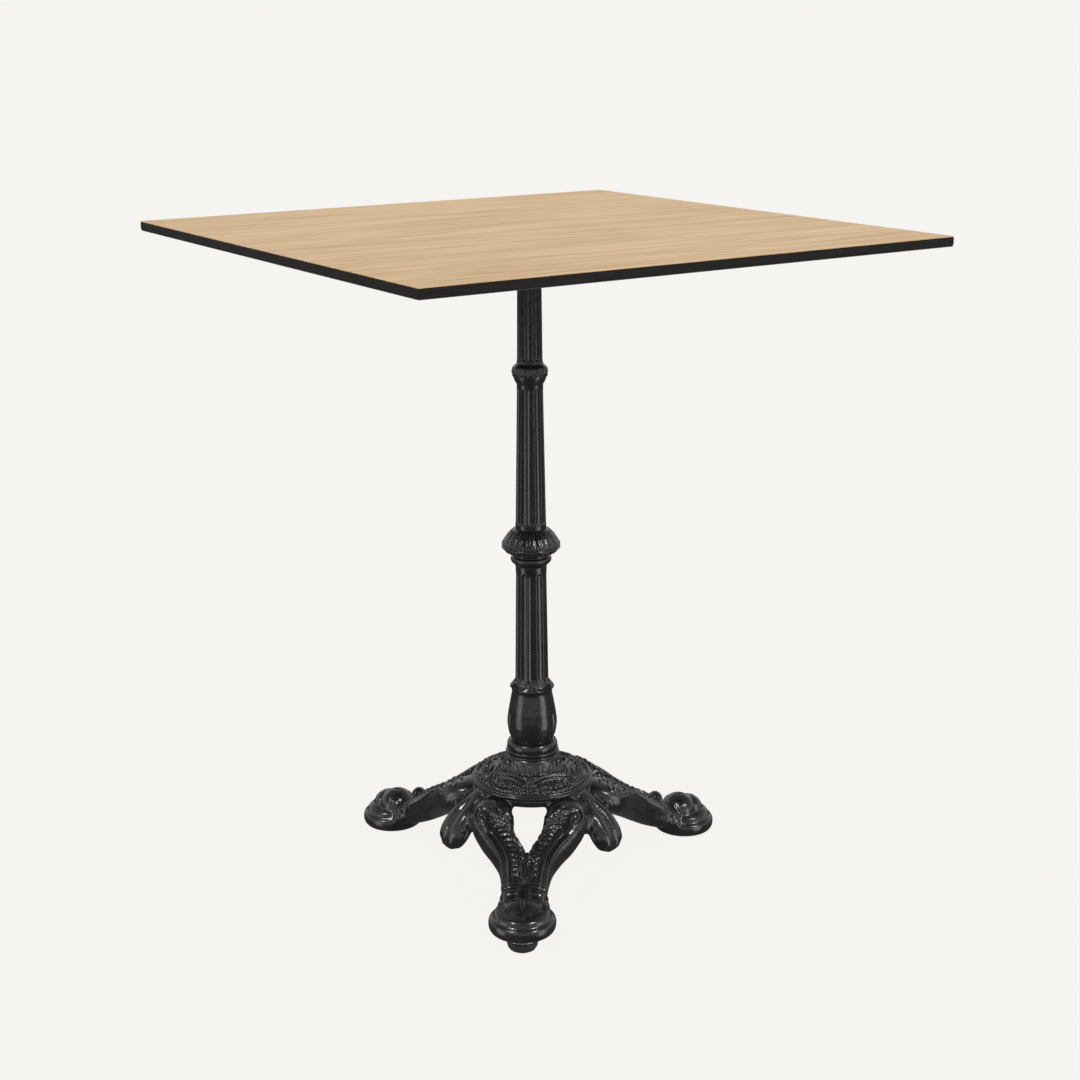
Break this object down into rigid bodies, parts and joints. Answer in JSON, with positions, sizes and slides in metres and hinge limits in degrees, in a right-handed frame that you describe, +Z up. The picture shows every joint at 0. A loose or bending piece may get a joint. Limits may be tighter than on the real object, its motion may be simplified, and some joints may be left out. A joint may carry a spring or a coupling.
{
  "type": "bistro table",
  "caption": "Square oak-look laminate top on a fluted black cast-iron column with a domed tripod base, scrolled legs, ball feet and a levelling glide.",
  "frame": {"origin": "on the floor, under the middle of the table top", "axes": "+Z up, +X and +Y along the edges of the square top; the leg with the glide points to -126.2 degrees from +X"},
  "size_m": [0.6, 0.6, 0.71],
  "materials": {
    "oak_laminate": "matt oak-look laminate",
    "compact_core": "dark pressed core, satin cut edge",
    "backing_laminate": "matt dark laminate",
    "black_cast_iron": "satin-gloss black paint over sand-cast iron",
    "zinc_steel": "zinc plated",
    "brass": "turned",
    "black_nylon": "moulded, matt"
  },
  "bodies": {
    "table": {"base_dome": "black_cast_iron", "clamping_plate": "zinc_steel", "glide_bush": "brass", "lower_column": "black_cast_iron", "mid_collar": "black_cast_iron", "mounting_spider": "black_cast_iron", "oak_face_sheet": "oak_laminate", "spider_screw_1": "zinc_steel", "spider_screw_2": "zinc_steel", "spider_screw_3": "zinc_steel", "spider_screw_4": "zinc_steel", "spider_washer_1": "zinc_steel", "spider_washer_2": "zinc_steel", "spider_washer_3": "zinc_steel", "spider_washer_4": "zinc_steel", "threaded_insert_1": "brass", "threaded_insert_2": "brass", "threaded_insert_3": "brass", "threaded_insert_4": "brass", "tie_rod": "zinc_steel", "tie_rod_base_nut": "zinc_steel", "tie_rod_base_washer": "zinc_steel", "tie_rod_top_nut": "zinc_steel", "tie_rod_top_washer": "zinc_steel", "top_core": "compact_core", "tripod_base": "black_cast_iron", "underside_sheet": "backing_laminate", "upper_column": "black_cast_iron"},
    "glide_foot": {"glide_cup": "zinc_steel", "glide_pad": "black_nylon"},
    "glide_screw": {"glide_stem": "zinc_steel"}
  },
  "joints": [
    {"name": "glide_travel", "type": "slide", "parent": "table", "child": "glide_foot", "axis": [0, 0, -1], "range_m": [0, 0.008]},
    {"name": "glide_turn", "type": "hinge", "parent": "glide_foot", "child": "glide_screw", "pos_m": [-0.11694, -0.15978, 0.02], "axis": [0, 0, -1], "range_deg": [0, 1920]}
  ],
  "couplings": [
    {"joint": "glide_turn", "follows": "glide_travel", "rad_per_m": 4188.8}
  ]
}
